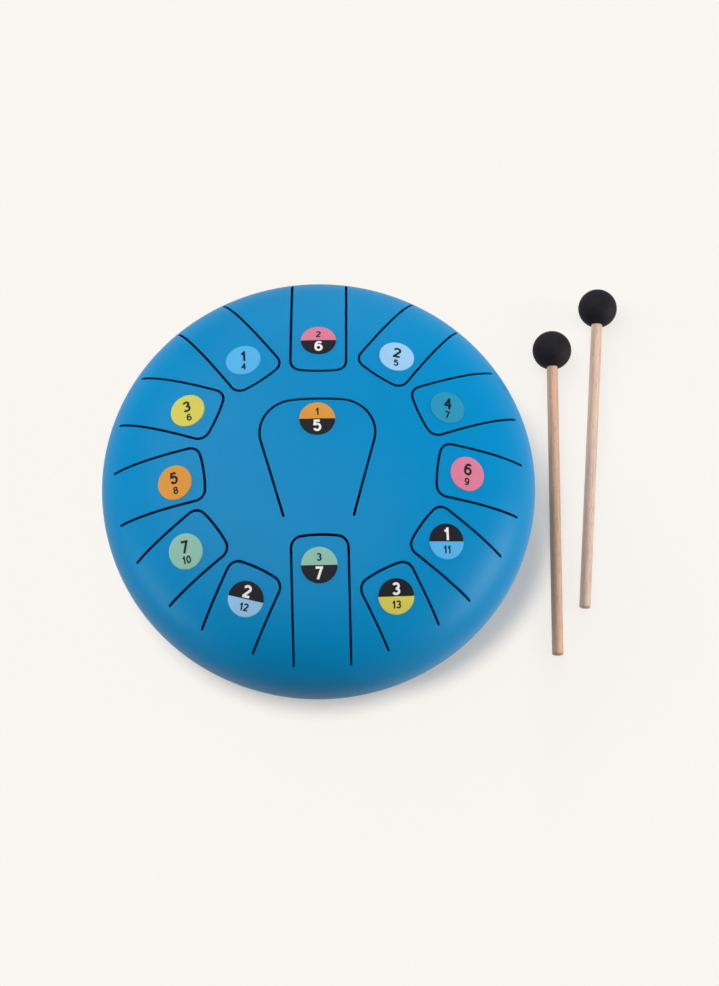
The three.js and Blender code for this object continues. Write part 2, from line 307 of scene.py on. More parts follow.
def pick(piece, kind, test):
    """Selects the piece's vertices, edges or polygons that pass the test, and enters edit mode."""
    take(piece)
    modes = {"vertices": "VERT", "edges": "EDGE", "polygons": "FACE"}
    bpy.ops.object.mode_set(mode="EDIT")
    bpy.ops.mesh.select_mode(type=modes[kind])
    bpy.ops.mesh.select_all(action="DESELECT")
    bpy.ops.object.mode_set(mode="OBJECT")
    for element in getattr(piece.data, kind):
        element.select = test(element)
    bpy.ops.object.mode_set(mode="EDIT")


def pick_rings(piece, rings, centre=Vector()):
    """Selects the edges that run round centre at any of the (radius, height) places."""
    near = 0.02 * MILLIMETRE

    def on_ring(vertex):
        place = vertex.co - centre
        radius = math.hypot(place.x, place.y)
        return any(abs(radius - r) < near and abs(place.z - z) < near for r, z in rings)

    chosen = {vertex.index for vertex in piece.data.vertices if on_ring(vertex)}
    pick(piece, "edges", lambda edge: all(index in chosen for index in edge.vertices))


def soften(offset, segments=3):
    """Rounds the selected edges and leaves edit mode."""
    bpy.ops.mesh.bevel(offset=offset, segments=segments, affect="EDGES")
    bpy.ops.object.mode_set(mode="OBJECT")


def modify(piece, kind, **options):
    """Gives a piece a modifier with these options and applies it."""
    take(piece)
    modifier = piece.modifiers.new("shape", kind)
    for name, value in options.items():
        setattr(modifier, name, value)
    bpy.context.view_layer.update()
    bpy.ops.object.modifier_apply(modifier=modifier.name)


def discard(*tools):
    """Deletes finished tools with their meshes."""
    for tool in tools:
        bpy.data.meshes.remove(tool.data)


def carve(piece, tool, operation):
    """Cuts a piece with a closed tool, or joins the tool to it, and deletes the tool."""
    modify(piece, "BOOLEAN", operation=operation, solver="EXACT", object=tool)
    discard(tool)


def duplicate(piece, name, place):
    """A copy with its own mesh, moved by a matrix."""
    copy = piece.copy()
    copy.data = piece.data.copy()
    copy.name = name
    copy.data.name = name
    copy.data.transform(place)
    bpy.context.scene.collection.objects.link(copy)
    return copy


def join(pieces):
    """Joins pieces into the first one."""
    take(pieces[0])
    for piece in pieces[1:]:
        piece.select_set(True)
    bpy.ops.object.join()
    return pieces[0]


def smooth(piece, degrees=50):
    """Shades a piece smooth, but for edges sharper than the angle."""
    take(piece)
    bpy.ops.object.shade_smooth_by_angle(angle=math.radians(degrees))


def finish(piece, *materials):
    """Gives a piece its materials, in slot order."""
    piece.data.materials.clear()
    for material in materials:
        piece.data.materials.append(material)


def require(condition, message):
    """Stops the build with a message if a step didn't do its work."""
    if not condition:
        raise RuntimeError(message)


# Shader maths

class Value:
    """The output of a node. Arithmetic on it adds Math nodes."""

    def __init__(self, nodes, socket):
        self.nodes = nodes
        self.socket = socket

    def math(self, operation, first, second):
        return self.nodes.add("ShaderNodeMath", {"operation": operation}, {0: first, 1: second})

    def __add__(self, other):
        return self.math("ADD", self, other)

    def __radd__(self, other):
        return self.math("ADD", other, self)

    def __sub__(self, other):
        return self.math("SUBTRACT", self, other)

    def __rsub__(self, other):
        return self.math("SUBTRACT", other, self)

    def __mul__(self, other):
        return self.math("MULTIPLY", self, other)

    def __rmul__(self, other):
        return self.math("MULTIPLY", other, self)


class Nodes:
    """A node tree under construction."""

    def __init__(self, tree):
        self.tree = tree
        tree.nodes.clear()

    def add(self, kind, options=None, sockets=None, output=0):
        """Adds a node: first its options, then its sockets' values or links."""
        node = self.tree.nodes.new(kind)
        for name, value in (options or {}).items():
            if name == "stops":
                self.set_stops(node.color_ramp, value)
            else:
                setattr(node, name, value)
        for name, value in (sockets or {}).items():
            if isinstance(value, Value):
                self.tree.links.new(value.socket, node.inputs[name])
            else:
                node.inputs[name].default_value = value
        return Value(self, node.outputs[output]) if node.outputs else None

    def set_stops(self, ramp, stops):
        """Sets a ramp's (position, level) stops, of which it has two to start with."""
        for _ in stops[2:]:
            ramp.elements.new(1)
        for element, (position, level) in zip(ramp.elements, stops):
            element.position = position
            element.color = (level, level, level, 1)

    def distance(self, point, centre):
        """How many metres a point is from a centre."""
        options = {"operation": "DISTANCE"}
        return self.add("ShaderNodeVectorMath", options, {0: point, 1: centre}, output="Value")

    def noise(self, vector, per_metre, detail=2.0, roughness=0.5):
        """Noise from 0 to 1 with this many waves to the metre."""
        sockets = {"Vector": vector, "Scale": per_metre, "Detail": detail, "Roughness": roughness}
        return self.add("ShaderNodeTexNoise", None, sockets)

    def ramp(self, value, stops):
        """A value bent through grey stops."""
        return self.add("ShaderNodeValToRGB", {"stops": stops}, {"Fac": value})

    def blend(self, factor, first, second):
        """A mix of two colours."""
        sockets = {0: factor, 6: first, 7: second}
        return self.add("ShaderNodeMix", {"data_type": "RGBA"}, sockets, output=2)

    def bump(self, height, metres, normal=None):
        """Relief of this height in metres, on top of other relief."""
        sockets = {"Height": height, "Distance": metres, "Strength": 1.0}
        if normal:
            sockets["Normal"] = normal
        return self.add("ShaderNodeBump", None, sockets)

    def mix(self, factor, first, second):
        """A mix of two shaders."""
        return self.add("ShaderNodeMixShader", None, {0: factor, 1: first, 2: second})

    def surface(self, tint, roughness, gloss, relief):
        """The material's one shader and its output."""
        sockets = {
            "Base Color": tint,
            "Roughness": roughness,
            "Specular IOR Level": gloss,
            "Normal": relief,
        }
        shader = self.add("ShaderNodeBsdfPrincipled", None, sockets)
        self.add("ShaderNodeOutputMaterial", None, {"Surface": shader})


def new_material(name, recipe, *values):
    """A material with the nodes of a recipe, which gets the piece's own coordinates in metres."""
    material = bpy.data.materials.new(name)
    material.use_nodes = True
    nodes = Nodes(material.node_tree)
    recipe(nodes, nodes.add("ShaderNodeTexCoord", output="Object"), *values)
    return material


def shade(colour_value, factor):
    """A colour made lighter or darker, with full alpha."""
    return [min(1.0, channel * factor) for channel in colour_value] + [1.0]


# Finishes

def enamel(nodes, place, base):
    """Satin baked enamel: a faint cloudiness, a fine orange peel and a few dust specks."""
    cloud = nodes.noise(place, 14, detail=3)
    speck = nodes.ramp(nodes.noise(place, 900, detail=1), [(0.74, 0), (0.8, 1)])
    peel = nodes.noise(place, 420, detail=2)
    swell = nodes.noise(place, 60, detail=1)
    tint = nodes.blend(cloud, shade(base, 0.96), shade(base, 1.04))
    tint = nodes.blend(speck * 0.12, tint, shade(base, 1.5))
    relief = nodes.bump(swell, 20 * MICROMETRE, nodes.bump(peel, 6 * MICROMETRE))
    nodes.surface(tint, 0.36 + 0.08 * cloud, gloss=0.11, relief=relief)


def vinyl(nodes, place, base):
    """Printed vinyl with a soft grain in its laminate."""
    cloud = nodes.noise(place, 160, detail=3)
    grain = nodes.noise(place, 2600, detail=1)
    tint = nodes.blend(cloud, shade(base, 0.97), shade(base, 1.03))
    relief = nodes.bump(grain, 2 * MICROMETRE)
    nodes.surface(tint, 0.42 + 0.12 * cloud, gloss=0.09, relief=relief)


def rubber(nodes, place, base):
    """Moulded matte rubber: a fine dry grain, and dust that lightens it here and there."""
    dust = nodes.noise(place, 220, detail=5, roughness=0.7)
    grain = nodes.noise(place, 1500, detail=3)
    pits = nodes.ramp(nodes.noise(place, 700, detail=1), [(0.25, 0), (0.4, 1)])
    dusty = nodes.ramp(dust, [(0.3, 0), (0.75, 1)])
    tint = nodes.blend(dusty, shade(base, 0.7), shade(base, 1.7))
    relief = nodes.bump(pits, 20 * MICROMETRE, nodes.bump(grain, 10 * MICROMETRE))
    nodes.surface(tint, 0.62 + 0.2 * dust, gloss=0.22, relief=relief)


def wood(nodes, place, base, stick_place):
    """Bare sanded dowel: long fibres, faint year rings and small dark pores along the stick."""

    def mapping(vector, options=None, **sockets):
        """A place moved, turned or stretched."""
        return nodes.add("ShaderNodeMapping", options, {"Vector": vector, **sockets})

    turn = stick_place.to_euler()
    options = {"vector_type": "TEXTURE"}
    along = mapping(place, options, Location=stick_place.translation, Rotation=turn)
    drawn_out = mapping(along, Scale=(1, 1, 0.06))
    fibre = nodes.noise(drawn_out, 900, detail=3, roughness=0.6)
    streak = nodes.noise(drawn_out, 330, detail=3)
    off_pith = mapping(along, Location=(11 * MILLIMETRE, 4 * MILLIMETRE, 0))
    rings = nodes.add(
        "ShaderNodeTexWave",
        {"wave_type": "RINGS", "rings_direction": "Z"},
        {"Vector": off_pith, "Scale": 55, "Distortion": 1.2, "Detail": 2, "Detail Scale": 0.6},
        output="Fac",
    )
    pore_noise = nodes.noise(mapping(along, Scale=(1, 1, 0.2)), 1100, detail=2)
    pores = nodes.ramp(pore_noise, [(0.58, 0), (0.68, 1)])
    grain = nodes.ramp(0.45 * fibre + 0.3 * streak + 0.25 * rings, [(0.34, 0), (0.66, 1)])
    tint = nodes.blend(grain, shade(base, 0.8), shade(base, 1.2))
    tint = nodes.blend(pores * 0.4, tint, shade(base, 0.5))
    relief = nodes.bump(fibre - pores * 0.5, 30 * MICROMETRE)
    nodes.surface(tint, 0.55 + 0.15 * streak, gloss=0.3, relief=relief)


def painted():
    """The enamel, made once and shared by all the steel."""
    name = "blue enamel"
    return bpy.data.materials.get(name) or new_material(name, enamel, settings().colours.paint)


# The bowls

# Steps along each bowl's curve, outside and inside
OUTER_STEPS = 56
UPPER_INNER_STEPS = 24
LOWER_INNER_STEPS = 32
# The two numbers of a curve's point
RADIUS, HEIGHT = 0, 1


class Bowl:
    """One half of the drum. Its outer face follows
    (radius / rim) ** flatness + (height / depth) ** shoulder = 1, upwards or downwards."""

    def __init__(self, depth, flatness, shoulder, side):
        self.depth = depth
        self.flatness = flatness
        self.shoulder = shoulder
        self.side = side

    def slope(self, radius, rise):
        """How fast that sum grows across and upwards."""
        across = self.flatness / RIM_RADIUS * (radius / RIM_RADIUS) ** (self.flatness - 1)
        upwards = self.shoulder / self.depth * (rise / self.depth) ** (self.shoulder - 1)
        return across, upwards

    def normal(self, radius, rise):
        """The outward direction, as (across, upwards), at a place on the outer face."""
        return Vector(self.slope(radius, rise)).normalized()

    def section(self, point):
        """The radius of a point in space, and its rise from the seam."""
        place = point - DRUM_AXIS
        return math.hypot(place.x, place.y), self.side * (place.z - SEAM_HEIGHT)

    def curve(self, steps, offset=0.0):
        """(radius, height) points from the middle to the rim, moved out along the normal."""
        points = []
        for step in range(steps + 1):
            angle = FULL_TURN / 4 * step / steps
            radius = RIM_RADIUS * math.sin(angle) ** (2 / self.flatness)
            rise = self.depth * max(0, math.cos(angle)) ** (2 / self.shoulder)
            moved = Vector((radius, rise)) + offset * self.normal(radius, rise)
            points.append((moved.x, SEAM_HEIGHT + self.side * moved.y))
        points[0] = (0.0, points[0][1])
        points[-1] = (points[-1][0], SEAM_HEIGHT)
        return points

    def height(self, radius):
        """The height of the outer face at this distance from the axis."""
        share_left = max(0.0, 1 - (radius / RIM_RADIUS) ** self.flatness)
        return SEAM_HEIGHT + self.side * self.depth * share_left ** (1 / self.shoulder)

    def normal_at(self, point):
        """The outward direction of the outer face beside a point in space."""
        radius, rise = self.section(point)
        direction = self.normal(radius, max(0.0, rise))
        place = point - DRUM_AXIS
        flat = Vector((place.x, place.y, 0)).normalized()
        return flat * direction.x + Vector((0, 0, self.side * direction.y))

    def distance(self, point):
        """How far a point lies outside the outer face, measured along its normal. Past the seam
        it is no part of this bowl."""
        radius, rise = self.section(point)
        if rise < 0:
            return -RIM_RADIUS
        excess = (radius / RIM_RADIUS) ** self.flatness + (rise / self.depth) ** self.shoulder - 1
        return excess / math.hypot(*self.slope(radius, rise))


def upper_bowl():
    """The half that carries the tongues."""
    sizes = settings().bowls
    return Bowl(sizes.upper_depth, sizes.upper_flatness, sizes.upper_shoulder, 1)


def lower_bowl():
    """The half that stands on the feet."""
    sizes = settings().bowls
    return Bowl(sizes.lower_depth, sizes.lower_flatness, sizes.lower_shoulder, -1)


def read_off(curve, axis, value):
    """The height at which a curve of (radius, height) points has a radius, where axis is RADIUS,
    or the radius at which it has a height, where axis is HEIGHT."""
    for start, end in zip(curve, curve[1:]):
        low, high = sorted((start[axis], end[axis]))
        if low <= value <= high:
            part = (value - start[axis]) / (end[axis] - start[axis])
            return start[1 - axis] + part * (end[1 - axis] - start[1 - axis])
    raise ValueError("the curve doesn't reach that far")


def whole_upper_bowl(name):
    """The upper bowl before its slits are cut, with a rounded edge inside at the seam."""
    sizes = settings().bowls
    outer = upper_bowl().curve(OUTER_STEPS)
    inner = upper_bowl().curve(UPPER_INNER_STEPS, -sizes.sheet)
    piece = lathe(name, outer + inner[::-1], settings().round_steps, DRUM_AXIS)
    pick_rings(piece, [inner[-1]], DRUM_AXIS)
    soften(sizes.edge_round)
    return piece


# The tongues

# Steps along a slit: half the tip, one corner, one round end, and the length of a step between
TIP_STEPS = 8
CORNER_STEPS = 14
END_STEPS = 6
LEG_STEP = 3 * MILLIMETRE


class Tongue:
    """One tongue's place, read from its hinge and its CAD solid. Its own plan has x across it and
    y towards its root, both from the drum's axis."""

    def __init__(self, number):
        self.number = number
        self.node = f"tongue_{number:02}"
        self.sticker_node = f"sticker_{number:02}"
        hinge = next(joint for joint in frame["joints"] if joint["child"] == self.node)
        axis = Vector(hinge["axis"])
        self.outward = Vector((axis.y, -axis.x, 0))
        self.across = -axis
        self.hinge = Vector(hinge["pos_m"])
        self.root = (self.hinge - DRUM_AXIS).dot(self.outward)
        slit = settings().bowls.slit
        self.tip = self.span(self.node, self.outward)[0] - slit / 2
        self.shape = settings().middle_tongue if number == 1 else settings().rim_tongue

    def span(self, node, direction):
        """The least and most that a CAD node reaches in a direction from the drum's axis."""
        vertices = frame["nodes"][node].data.vertices
        reach = [(vertex.co - DRUM_AXIS).dot(direction) for vertex in vertices]
        return min(reach), max(reach)

    def sticker_middle(self):
        """The middle of the tongue's sticker in the drum's plan."""
        along = sum(self.span(self.sticker_node, self.outward)) / 2
        aside = sum(self.span(self.sticker_node, self.across)) / 2
        return self.outward * along + self.across * aside

    def outline(self, grow):
        """Plan points from the root's left end, round the tip, to the root's right end. grow moves
        them out from the slit's middle line, and both ends of the slit are round."""
        shape = self.shape
        corner = Vector((shape.width / 2 - shape.corner, 0))
        arc_y = self.tip + shape.tip_arc
        corner.y = arc_y - math.sqrt((shape.tip_arc - shape.corner) ** 2 - corner.x ** 2)
        turn = math.atan2(corner.x, arc_y - corner.y)
        to_root = Vector((shape.root_width / 2, self.root)) - corner
        lean = math.asin(shape.corner / to_root.length) - math.atan2(to_root.x, to_root.y)
        side = Vector((math.cos(lean), math.sin(lean)))
        along = Vector((-side.y, side.x))
        leg = (self.root - corner.y - shape.corner * side.y) / along.y
        end = corner + shape.corner * side + leg * along
        down = -FULL_TURN / 4
        right = arc(Vector((0, arc_y)), shape.tip_arc + grow, down, down + turn, TIP_STEPS)
        right += arc(corner, shape.corner + grow, down + turn, lean, CORNER_STEPS)[1:]
        right += line(right[-1], end + grow * side, math.ceil(leg / LEG_STEP))[1:]
        for step in range(1, END_STEPS + 1):
            angle = FULL_TURN / 4 * step / END_STEPS
            right.append(end + grow * math.cos(angle) * side + abs(grow) * math.sin(angle) * along)
        left = [Vector((-point.x, point.y)) for point in right[:0:-1]]
        return left + right


def arc(centre, radius, start, end, steps):
    """Plan points of an arc between two angles."""
    angles = [start + (end - start) * step / steps for step in range(steps + 1)]
    return [centre + radius * Vector((math.cos(angle), math.sin(angle))) for angle in angles]


def line(start, end, steps):
    """Plan points of a straight line."""
    return [start.lerp(end, step / steps) for step in range(steps + 1)]


def all_tongues():
    """Every tongue, from the lowest note to the highest."""
    return [Tongue(number) for number in range(1, TONGUE_COUNT + 1)]


def slit_tool(name, tongues, grow, flare):
    """One closed cutting tool for each tongue, in one mesh. Its walls follow the slit's edge and
    flare in or out through the bowl's face, which rounds that edge. The rings are worked out
    point by point, because each follows the bowl's curve."""
    sizes = settings().bowls
    bowl = upper_bowl()
    soft = sizes.slit_round
    shallow = 1 - math.sqrt(0.5)
    margin = 10 * MILLIMETRE
    below = SEAM_HEIGHT + margin
    above = SEAM_HEIGHT + sizes.upper_depth + margin
    rings = [
        (0, lambda face: below),
        (0, lambda face: face - soft),
        (shallow * soft, lambda face: face - shallow * soft),
        ((2 - shallow) * soft, lambda face: face + shallow * soft),
        ((2 - shallow) * soft, lambda face: above),
    ]
    corners = []
    faces = []
    for tongue in tongues:
        first = len(corners)
        for extra, level in rings:
            outline = tongue.outline(grow + flare * extra)
            for point in outline:
                plan = tongue.across * point.x + tongue.outward * point.y
                height = level(bowl.height(plan.length))
                corners.append(DRUM_AXIS + plan + Vector((0, 0, height)))
        count = len(outline)
        for lower in range(len(rings) - 1):
            here = first + lower * count
            above_here = here + count
            for step in range(count):
                after = (step + 1) % count
                faces.append((here + step, here + after, above_here + after, above_here + step))
        faces.append(tuple(range(first + count - 1, first - 1, -1)))
        last = first + (len(rings) - 1) * count
        faces.append(tuple(range(last, last + count)))
    mesh = bpy.data.meshes.new(name)
    mesh.from_pydata(corners, [], faces)
    tool = bpy.data.objects.new(name, mesh)
    bpy.context.scene.collection.objects.link(tool)
    return tool


def shine_like(piece, bowl):
    """Gives the outer face the bowl's own normals, so that no cut or facet shows in its shine."""
    smooth(piece)
    near = 0.06 * MILLIMETRE
    normals = []
    for vertex in piece.data.vertices:
        on_face = abs(bowl.distance(vertex.co)) < near
        normals.append(bowl.normal_at(vertex.co) if on_face else Vector((0, 0, 0)))
    piece.data.normals_split_custom_set_from_vertices(normals)


class DRUM_OT_upper_bowl(Operator):
    """Make the upper bowl with its thirteen windows"""

    bl_idname = "drum.upper_bowl"
    bl_label = "Upper bowl"

    def execute(self, context):
        sizes = settings().bowls
        piece = whole_upper_bowl("upper_bowl")
        tool = slit_tool("window tool", all_tongues(), sizes.slit / 2, 1)
        before = len(piece.data.polygons)
        carve(piece, tool, "DIFFERENCE")
        require(len(piece.data.polygons) != before, "the windows weren't cut")
        shine_like(piece, upper_bowl())
        finish(piece, painted())
        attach(piece, "drum")
        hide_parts("top_shell")
        return {"FINISHED"}


class DRUM_OT_tongues(Operator):
    """Make the thirteen tongues that fill the upper bowl's windows"""

    bl_idname = "drum.tongues"
    bl_label = "Tongues"

    def execute(self, context):
        sizes = settings().bowls
        tongues = all_tongues()
        sheet = whole_upper_bowl("tongue sheet")
        tool = slit_tool("tongue tool", tongues, -sizes.slit / 2, -1)
        carve(sheet, tool, "INTERSECT")
        bpy.ops.object.mode_set(mode="EDIT")
        bpy.ops.mesh.select_all(action="SELECT")
        bpy.ops.mesh.separate(type="LOOSE")
        bpy.ops.object.mode_set(mode="OBJECT")
        plates = list(context.selected_objects)
        require(len(plates) == len(tongues), f"{len(plates)} plates were cut")
        for tongue in tongues:
            middle = sum(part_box(tongue.node), Vector()) / 2
            plate = min(plates, key=lambda piece: (middle_of(piece) - middle).length)
            plates.remove(plate)
            plate.name = f"tongue_plate_{tongue.number:02}"
            shine_like(plate, upper_bowl())
            finish(plate, painted())
            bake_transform(plate)
            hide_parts(tongue.node)
        return {"FINISHED"}


def middle_of(piece):
    """The middle of a piece's box."""
    reaches = zip(*(vertex.co for vertex in piece.data.vertices))
    return Vector([(min(reach) + max(reach)) / 2 for reach in reaches])


class DRUM_OT_lower_bowl(Operator):
    """Make the lower bowl with its lip and sound hole"""

    bl_idname = "drum.lower_bowl"
    bl_label = "Lower bowl"

    def execute(self, context):
        sizes = settings().bowls
        bowl = lower_bowl()
        outer = bowl.curve(OUTER_STEPS)
        inner = bowl.curve(LOWER_INNER_STEPS, -sizes.sheet)
        upper_inner = upper_bowl().curve(OUTER_STEPS, -sizes.sheet)
        lip_top = SEAM_HEIGHT + sizes.lip_height
        lip_outer = read_off(upper_inner, HEIGHT, lip_top) - sizes.lip_clearance
        lip_inner = lip_outer - sizes.sheet
        hole = sizes.sound_hole
        edges = [
            (hole, read_off(outer, RADIUS, hole)),
            (lip_outer, lip_top),
            (lip_inner, lip_top),
            (hole, read_off(inner, RADIUS, hole)),
        ]
        lip_foot = [(lip_outer, SEAM_HEIGHT)]
        bend = [(lip_inner, read_off(inner, RADIUS, lip_inner))]
        outside = [point for point in outer if point[0] > hole]
        inside = [point for point in inner if hole < point[0] < lip_inner]
        profile = edges[:1] + outside + lip_foot + edges[1:3] + bend + inside[::-1]
        profile += edges[3:] + edges[:1]
        piece = lathe("lower_bowl", profile, settings().round_steps, DRUM_AXIS)
        pick_rings(piece, edges, DRUM_AXIS)
        soften(sizes.edge_round)
        shine_like(piece, bowl)
        finish(piece, painted())
        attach(piece, "drum")
        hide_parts("bottom_shell")
        return {"FINISHED"}


# The stickers

# The colours start again after the seventh note, and so do the steps of the scale, of which
# the lowest note is the fifth
SHADES = ("orange", "pink", "green", "sky", "pale_blue", "yellow", "teal")
LOWEST_STEP = 5
# How many degrees each note's print is turned clockwise, from the lowest note to the highest
PRINT_TURNS = (0, 0, 0, -5, 9, -15, 5, -8, 7, -4, -4.5, 16, -4)
# The notes whose sticker is half black
LOW_NOTES = (1, 2, 3)
HIGH_NOTES = (11, 12, 13)
# How many millimetres the big and the small number stand above the sticker's middle, where its
# black half is the upper one, and where it has none
SPLIT_RISES = (5.1, -5.3)
PLAIN_RISES = (3.1, -5.6)
# Facets round a sticker, and rings of faces in it, which let it bend
DISC_STEPS = 96
DISC_RINGS = 6
# In a digit 1 m high: how high its strokes are raised, and the gap to the next digit
DIGIT_WALL = 0.05
DIGIT_GAP = 0.13
# How often each corner of a sticker is moved towards the bowl's face
FIT_ROUNDS = 4


def sticker_disc(name, materials, black_side):
    """A flat vinyl disc on the plane z = 0. black_side is 1 or -1 where its upper or lower half is
    black, and 0 where it is all one colour."""
    sizes = settings().sticker
    deselect()
    middle = (0, 0, sizes.thickness / 2)
    bpy.ops.mesh.primitive_cylinder_add(
        vertices=DISC_STEPS, radius=sizes.radius, depth=sizes.thickness, location=middle
    )
    disc = bpy.context.object
    disc.name = name
    bpy.ops.object.transform_apply(location=True)
    pick(disc, "polygons", lambda face: abs(face.normal.z) > 0.9)
    for _ in range(DISC_RINGS):
        bpy.ops.mesh.inset(thickness=sizes.radius / (DISC_RINGS + 1))
    bpy.ops.mesh.poke()
    bpy.ops.object.mode_set(mode="OBJECT")
    pick_rings(disc, [(sizes.radius, sizes.thickness)])
    soften(sizes.thickness / 3, segments=2)
    if black_side:
        pick(disc, "polygons", lambda face: True)
        bpy.ops.mesh.bisect(plane_co=(0, 0, 0), plane_no=(0, 1, 0))
        bpy.ops.object.mode_set(mode="OBJECT")
    finish(disc, *materials)
    for face in disc.data.polygons:
        face.material_index = 1 if black_side * face.center.y > 0 else 0
    return disc


def ring(x, y, across, up, start=0, end=360):
    """Points on an ellipse, about 12 degrees apart, from one angle to another in degrees."""
    count = max(4, round(abs(end - start) / 12))
    angles = [math.radians(start + (end - start) * step / count) for step in range(count + 1)]
    return [Vector((x + across * math.cos(angle), y + up * math.sin(angle), 0)) for angle in angles]


def bar(x, y, end_x, end_y):
    """Points on a straight stroke, in 8 steps."""
    return line(Vector((x, y, 0)), Vector((end_x, end_y, 0)), 8)


def digit_strokes(digit, cap):
    """The middle lines of a digit's strokes, in a box 1 high. cap is half a stroke's width."""
    if digit == 9:
        return [[-point for point in stroke] for stroke in digit_strokes(6, cap)]
    top = 0.5 + cap
    strokes = {
        0: [ring(0, 0, 0.28, 0.5)],
        1: [bar(0.1, -top, 0.1, top), bar(0.1, 0.46, -0.18, 0.22)],
        2: [
            ring(0, 0.22, 0.28, 0.28, 165, -30),
            bar(0.23, 0.1, -0.25, -0.44),
            bar(-0.28 - cap, -0.5, 0.3, -0.5),
        ],
        3: [ring(0, 0.255, 0.26, 0.245, 155, -95), ring(0, -0.24, 0.29, 0.26, 95, -155)],
        4: [
            bar(0.13, -top, 0.13, top),
            bar(0.13, 0.5, -0.3, -0.2),
            bar(-0.3 - cap, -0.2, 0.34, -0.2),
        ],
        5: [
            bar(-0.2 - cap, 0.5, 0.27, 0.5),
            bar(-0.2, 0.5, -0.25, 0),
            ring(0, -0.17, 0.3, 0.33, 142, -155),
        ],
        6: [ring(0, -0.19, 0.29, 0.31), ring(0.05, 0, 0.34, 0.5, 50, 192)],
        7: [bar(-0.3, 0.5, 0.29 + cap, 0.5), bar(0.27, 0.48, -0.1, -top)],
        8: [ring(0, 0.26, 0.25, 0.24), ring(0, -0.24, 0.29, 0.26)],
    }
    return strokes[digit]


def make_digit(digit, boldness):
    """A digit 1 m high in strokes boldness wide, as one solid. Every stroke is drawn, raised to a
    wall, thickened, and joined to the others."""
    pen = boldness / (1 - boldness)
    strokes = []
    for points in digit_strokes(digit, pen / 2):
        stroke = draw(f"digit {digit}", points)
        bpy.ops.mesh.select_all(action="SELECT")
        bpy.ops.mesh.remove_doubles(threshold=MILLIMETRE)
        bpy.ops.mesh.extrude_region_move(TRANSFORM_OT_translate={"value": (0, 0, DIGIT_WALL)})
        bpy.ops.object.mode_set(mode="OBJECT")
        modify(stroke, "SOLIDIFY", thickness=pen, offset=0, use_even_offset=True)
        strokes.append(stroke)
    for stroke in strokes[1:]:
        carve(strokes[0], stroke, "UNION")
    strokes[0].data.transform(Matrix.Scale(1 - boldness, 4))
    return strokes[0]


def printed_number(number, digits, height, middle, material):
    """A number in a thin layer of ink, its middle this far up the sticker, joined from copies of
    its digits. A part of the ink is sunk in the vinyl."""
    sizes = settings().sticker
    pieces = []
    reach = 0
    for letter in str(number):
        digit = digits[int(letter)]
        corners = [vertex.co.x for vertex in digit.data.vertices]
        place = Matrix.Translation((reach - min(corners), 0, 0))
        pieces.append(duplicate(digit, f"number {number}", place))
        reach += max(corners) - min(corners) + DIGIT_GAP
    piece = join(pieces)
    sink = sizes.ink / 3
    scale = Matrix.Diagonal((height, height, (sizes.ink + sink) / DIGIT_WALL, 1))
    centre = Matrix.Translation((-(reach - DIGIT_GAP) / 2, 0, 0))
    piece.data.transform(Matrix.Translation((0, middle, sizes.thickness - sink)) @ scale @ centre)
    finish(piece, material)
    return piece


def stick_on(sticker, middle, clockwise):
    """Presses a flat sticker onto the upper bowl, round a place in the drum's plan."""
    bowl = upper_bowl()
    gap = settings().sticker.gap
    centre = DRUM_AXIS + Vector((middle.x, middle.y, bowl.height(middle.length)))
    normal = bowl.normal_at(centre)
    turn = math.radians(clockwise)
    up = Vector((math.sin(turn), math.cos(turn), 0))
    up = (up - normal * up.dot(normal)).normalized()
    right = up.cross(normal)
    for vertex in sticker.data.vertices:
        flat = centre + right * vertex.co.x + up * vertex.co.y
        face = flat
        for _ in range(FIT_ROUNDS):
            face = face - normal * (bowl.distance(face) / bowl.normal_at(face).dot(normal))
        vertex.co = face + bowl.normal_at(face) * (gap + vertex.co.z)


class DRUM_OT_stickers(Operator):
    """Make the thirteen note stickers with their numbers"""

    bl_idname = "drum.stickers"
    bl_label = "Stickers"

    def execute(self, context):
        sizes = settings().sticker
        colours = settings().colours
        black = new_material("vinyl black", vinyl, colours.black)
        dark_ink = new_material("dark ink", vinyl, colours.dark_ink)
        white_ink = new_material("white ink", vinyl, colours.white_ink)
        big_digits = [make_digit(digit, sizes.big_stroke) for digit in range(10)]
        small_digits = [make_digit(digit, sizes.small_stroke) for digit in range(10)]
        grounds = [
            new_material(f"vinyl {shade_name}", vinyl, getattr(colours, shade_name))
            for shade_name in SHADES
        ]
        for index, tongue in enumerate(all_tongues()):
            number = tongue.number
            shade_index = index % len(SHADES)
            step = (index + LOWEST_STEP - 1) % len(SHADES) + 1
            split = (number in HIGH_NOTES) - (number in LOW_NOTES)
            disc = sticker_disc(f"note_sticker_{number:02}", [grounds[shade_index], black], split)
            rises = [rise * split for rise in SPLIT_RISES] if split else PLAIN_RISES
            big_middle, small_middle = [rise * MILLIMETRE for rise in rises]
            big_ink = white_ink if split else dark_ink
            big = printed_number(step, big_digits, sizes.big_number, big_middle, big_ink)
            small = printed_number(
                number, small_digits, sizes.small_number, small_middle, dark_ink
            )
            sticker = join([disc, big, small])
            stick_on(sticker, tongue.sticker_middle(), PRINT_TURNS[index])
            smooth(sticker, 40)
            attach(sticker, tongue.node)
            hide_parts(tongue.sticker_node)
        discard(*big_digits, *small_digits)
        return {"FINISHED"}


# The feet

# The ring pressed into the tread, as shares of the tread's radius and of the groove's depth
TREAD_RING = ((0.42, 0), (0.48, 1), (0.66, 1), (0.72, 0))


